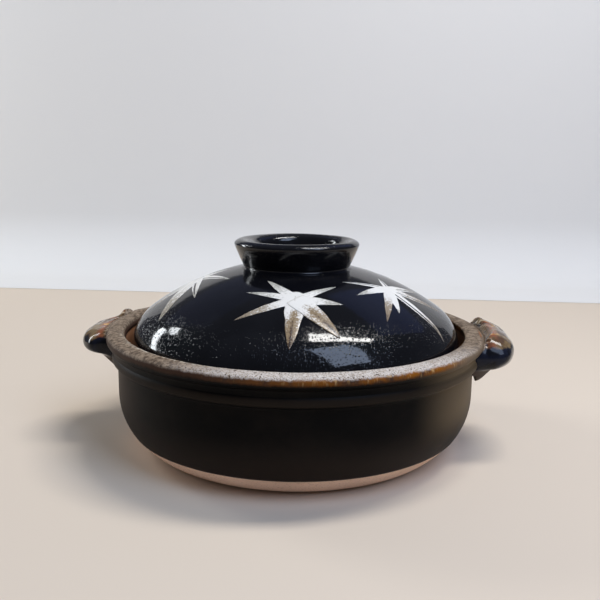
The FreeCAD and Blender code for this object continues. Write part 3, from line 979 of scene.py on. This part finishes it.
# %% Leaf finish
SLIP_WHITE = (0.79, 0.76, 0.70)
SLIP_GREY, SLIP_TAN = (0.40, 0.385, 0.33), (0.255, 0.180, 0.100)
SLIP_ASH, SLIP_IRON = (0.10, 0.095, 0.085), (0.085, 0.050, 0.030)
SLIP_GONE = (0.012, 0.010, 0.009)

leaf_slip, tree, shader, place = new_finish("leaf_slip")
brush = add(tree, "UVMap", uv_map="brush").outputs[0]
streak = speckle(tree, moved(tree, brush, "Scale", (18.0, 2.0, 1.0)), 1.0, detail=3.0, roughness=0.6)
mottle = speckle(tree, place, 240.0, detail=4.0, roughness=0.65)
grain = speckle(tree, place, 1000.0)
worn = noted(tree, "thin")
for texture, share in ((streak, 0.6), (mottle, 0.8), (grain, 1.3)):
    worn = plus(tree, worn, times(tree, minus(tree, texture, 0.5), share))
tan = noted(tree, "tan")
slip = blend(tree, between(tree, worn, 0.08, 0.60), SLIP_WHITE, blend(tree, tan, SLIP_GREY, SLIP_TAN))
slip = blend(tree, between(tree, worn, 0.70, 1.15), slip, blend(tree, tan, SLIP_ASH, SLIP_IRON))
slip = blend(tree, between(tree, worn, 1.15, 1.45), slip, SLIP_GONE)
connect(tree, shader, colour=slip, normal=relief(tree, worn, 0.2, 0.25 * MM))
shader.inputs["Roughness"].default_value = 0.24
print(leaf_slip.name, len(tree.nodes), "nodes")

# %% Leaf shapes
# A leaf's turn round the lid in degrees, its heart's distance from the axis and size in millimetres, then for
# each lobe: bearing in degrees, length and width in millimetres, where along it the slip starts to thin, how
# much of that is tan, and the vein's half width in millimetres
LEAVES = {
    "front": {"turn": 4.6, "reach": 69.7, "heart": 8.6, "lobes": [
        (126.6, 31.3, 9.6, 0.15, 0.0, 0.0), (157.2, 33.2, 8.2, 0.25, 0.0, 0.0),
        (-158.9, 39.8, 9.6, 0.25, 0.7, 0.0), (-94.3, 41.5, 16.5, 0.30, 1.0, 0.0),
        (-48.3, 40.5, 17.0, 0.26, 1.0, 0.0), (-3.0, 28.3, 10.4, 0.35, 0.1, 0.0),
        (37.5, 31.8, 8.4, 0.3, 0.0, 0.0)]},
    "right": {"turn": 67.1, "reach": 67.9, "heart": 3.8, "lobes": [
        (138.5, 33.0, 5.8, 0.7, 0.0, 0.5), (47.2, 18.5, 6.4, 0.6, 0.0, 0.6),
        (166.2, 32.8, 9.4, 0.5, 0.1, 0.0), (-155.0, 44.3, 9.0, 0.3, 0.85, 0.0),
        (-139.0, 31.0, 9.0, 0.8, 0.1, 0.0), (-101.9, 50.3, 10.4, 0.50, 0.6, 0.9),
        (-53.0, 42.3, 11.5, 0.15, 0.8, 0.7), (-13.8, 36.4, 9.4, 0.3, 0.2, 0.6)]},
    "left": {"turn": -86.7, "reach": 68.3, "heart": 3.6, "lobes": [
        (40.9, 41.5, 9.0, 0.5, 0.0, 0.9), (3.0, 46.0, 10.0, 0.6, 0.1, 1.0),
        (-23.3, 58.5, 15.0, 0.3, 0.5, 1.1), (-62.0, 48.0, 13.0, 0.3, 0.5, 1.0),
        (-112.0, 40.0, 12.0, 0.35, 0.3, 0.8), (150.0, 30.0, 9.0, 0.4, 0.0, 0.6),
        (87.1, 28.0, 9.0, 0.6, 0.0, 0.6)]},
    "back_right": {"turn": 128.0, "reach": 69.0, "heart": 7.6, "lobes": [
        (130.0, 30.0, 9.0, 0.2, 0.0, 0.0), (165.0, 33.0, 9.0, 0.25, 0.0, 0.0),
        (-150.0, 38.0, 10.0, 0.25, 0.7, 0.0), (-98.0, 41.0, 16.0, 0.28, 1.0, 0.0),
        (-50.0, 37.0, 16.0, 0.28, 1.0, 0.0), (-5.0, 31.0, 10.0, 0.35, 0.1, 0.0),
        (40.0, 27.0, 8.4, 0.3, 0.0, 0.0)]},
    "back_left": {"turn": -143.0, "reach": 72.0, "heart": 3.6, "lobes": [
        (136.0, 26.0, 7.0, 0.6, 0.0, 0.5), (172.0, 29.0, 8.4, 0.6, 0.0, 0.5),
        (-144.0, 38.0, 12.0, 0.4, 0.7, 0.7), (-94.0, 40.0, 13.0, 0.4, 0.5, 0.7),
        (-46.0, 37.0, 12.0, 0.3, 0.5, 0.7), (-2.0, 33.0, 9.0, 0.4, 0.2, 0.6),
        (44.0, 30.0, 7.0, 0.6, 0.0, 0.5)]},
}
print("leaves", {name: len(leaf["lobes"]) for name, leaf in LEAVES.items()})

# %% One pull of the brush
PULL_ROWS = 26
PULL_COLUMNS = 16
PULL_WOBBLE = 0.16
PULL_BEND = 0.05
SLIP_HEIGHT = 0.26 * MM
SLIP_SINK = 0.03 * MM
VEIN_ASIDE = 0.28
VEIN_WIDEST = 0.26
VEIN_DEPTH = 0.15 * MM
VEIN_END = 0.86
FULL_END = 0.22
CORE_TAN = 0.9


def half_width(along):
    """A lobe's half width, as a share of its widest, from heart to tip."""
    return 1.25 * (along + 0.25) ** 0.35 * max(0.0, 1.0 - along) ** 0.8


def vein_groove(vein, aside, half, along, swell):
    """How deep the scratched vein is at a place of the lobe."""
    if not vein or along >= VEIN_END:
        return 0.0
    scratch = min(vein * MM, VEIN_WIDEST * half) + 0.001 * MM
    return (swell + VEIN_DEPTH) * bell(aside, VEIN_ASIDE * half, scratch)


def thinness(across, along, thin_from, tan_share):
    """How far the slip has run out: full at the heart, thin at the tip and in the core of a tan lobe."""
    core = 0.5 * bell(across, 0.0, 0.34) * ramp(along, 0.2, 0.35) if tan_share > CORE_TAN else 0.0
    full = 0.6 * max(0.0, 1.0 - along / FULL_END)
    return 0.8 * (along - thin_from) / (1.0 - thin_from) + core + 0.25 * tan_share * along - full


def lay_pull(bm, lay, bearing, length, width, thin_from, tan_share, vein):
    """One pull of the brush: a grid bent into a lobe and laid on the dome."""
    uv = bm.loops.layers.uv["brush"]
    thin = bm.verts.layers.float["thin"]
    tan = bm.verts.layers.float["tan"]
    made = bmesh.ops.create_grid(bm, x_segments=PULL_COLUMNS, y_segments=PULL_ROWS, size=1.0)["verts"]
    way = Vector((math.cos(math.radians(bearing)), math.sin(math.radians(bearing))))
    side = Vector((way.y, -way.x))
    shares = {}
    for v in made:
        across, along = v.co.x, 0.5 + 0.5 * v.co.y
        shares[v] = (0.5 + 0.5 * across, along)
        wobble = 1.0 + PULL_WOBBLE * noise.noise(Vector((bearing, along * 5.0, across)))
        half = 0.5 * width * half_width(along) * wobble
        aside = across * half
        bend = PULL_BEND * length * math.sin(bearing * 3.1) * along * along
        spot = way * ((along * 1.03 - 0.03) * length) + side * (aside + bend)
        swell = SLIP_HEIGHT * (1.0 - across ** 4) * (1.0 - 0.75 * along) - SLIP_SINK
        v.co = lay(spot, swell - vein_groove(vein, aside, half, along, swell))
        v[thin] = thinness(across, along, thin_from, tan_share)
        v[tan] = tan_share
    for f in {f for v in made for f in v.link_faces}:
        for loop in f.loops:
            loop[uv].uv = shares[loop.vert]


# %% Heart of a leaf
HEART_RINGS = (0.15, 0.35)
HEART_HEIGHT = 1.3 * SLIP_HEIGHT
HEART_LIFT = 0.02 * MM
HEART_FULL = -0.6


def lay_heart(bm, lay, size):
    """A round dab where the pulls start: a disc with two inset rings, laid on the dome like them."""
    thin = bm.verts.layers.float["thin"]
    before = set(bm.verts)
    bmesh.ops.create_circle(bm, cap_ends=True, segments=36, radius=size)
    disc = next(f for f in bm.faces if not before.intersection(f.verts))
    for share in HEART_RINGS:
        bmesh.ops.inset_region(bm, faces=[disc], thickness=share * size, use_boundary=True, use_even_offset=True)
    for v in [v for v in bm.verts if v not in before]:
        spot = Vector((v.co.x, v.co.y))
        spot *= 1.0 + 0.18 * noise.noise(Vector((spot.x, spot.y, 0.0)) / size * 1.7)
        edge = min(1.0, spot.length / size)
        v.co = lay(spot, HEART_HEIGHT * (1.0 - edge ** 4) + HEART_LIFT)
        v[thin] = HEART_FULL


# %% Paint the leaves
SLIP_THICKNESS = 0.35 * MM
RAY_START = 30.0 * MM


def smooth_ground():
    """The lid's smooth outer face, for laying leaves on."""
    bm = bmesh.new()
    start = bm.verts.new((0, 0, CROWN))
    meet = arc(bm, start, (0, DOME_CENTRE), math.degrees(MEET) - 90.0, 60)
    arc(bm, meet, SHOULDER_CENTRE, -math.degrees(MEET), 40)
    turn_on_wheel(bm, 360)
    ground = BVHTree.FromBMesh(bm)
    bm.free()
    return ground


def make_leaf(name, leaf, ground):
    """All pulls of a leaf in one mesh, raised on the lid's surface."""
    turn = math.radians(leaf["turn"])
    reach = leaf["reach"] * MM
    outwards = Vector((math.sin(turn), -math.cos(turn), 0))
    heart = outwards * reach + Vector((0, 0, dome_height(reach)))
    normal = (heart - Vector((0, 0, DOME_CENTRE))).normalized()
    right = Vector((math.cos(turn), math.sin(turn), 0))
    up = normal.cross(right)

    def lay(spot, lift):
        above = heart + right * spot.x + up * spot.y + normal * RAY_START
        touch, facing, _, _ = ground.ray_cast(above, -normal)
        return touch + facing * lift

    bm = bmesh.new()
    bm.loops.layers.uv.new("brush")
    bm.verts.layers.float.new("thin")
    bm.verts.layers.float.new("tan")
    for bearing, length, width, thin_from, tan_share, vein in leaf["lobes"]:
        lay_pull(bm, lay, bearing, length * MM, width * MM, thin_from, tan_share, vein)
    lay_heart(bm, lay, leaf["heart"] * MM)
    bmesh.ops.recalc_face_normals(bm, faces=bm.faces[:])
    made = piece(f"leaf_{name}", bm, "lid", leaf_slip)
    thicken(made, "slip", SLIP_THICKNESS)


ground = smooth_ground()
for name, leaf in LEAVES.items():
    make_leaf(name, leaf, ground)
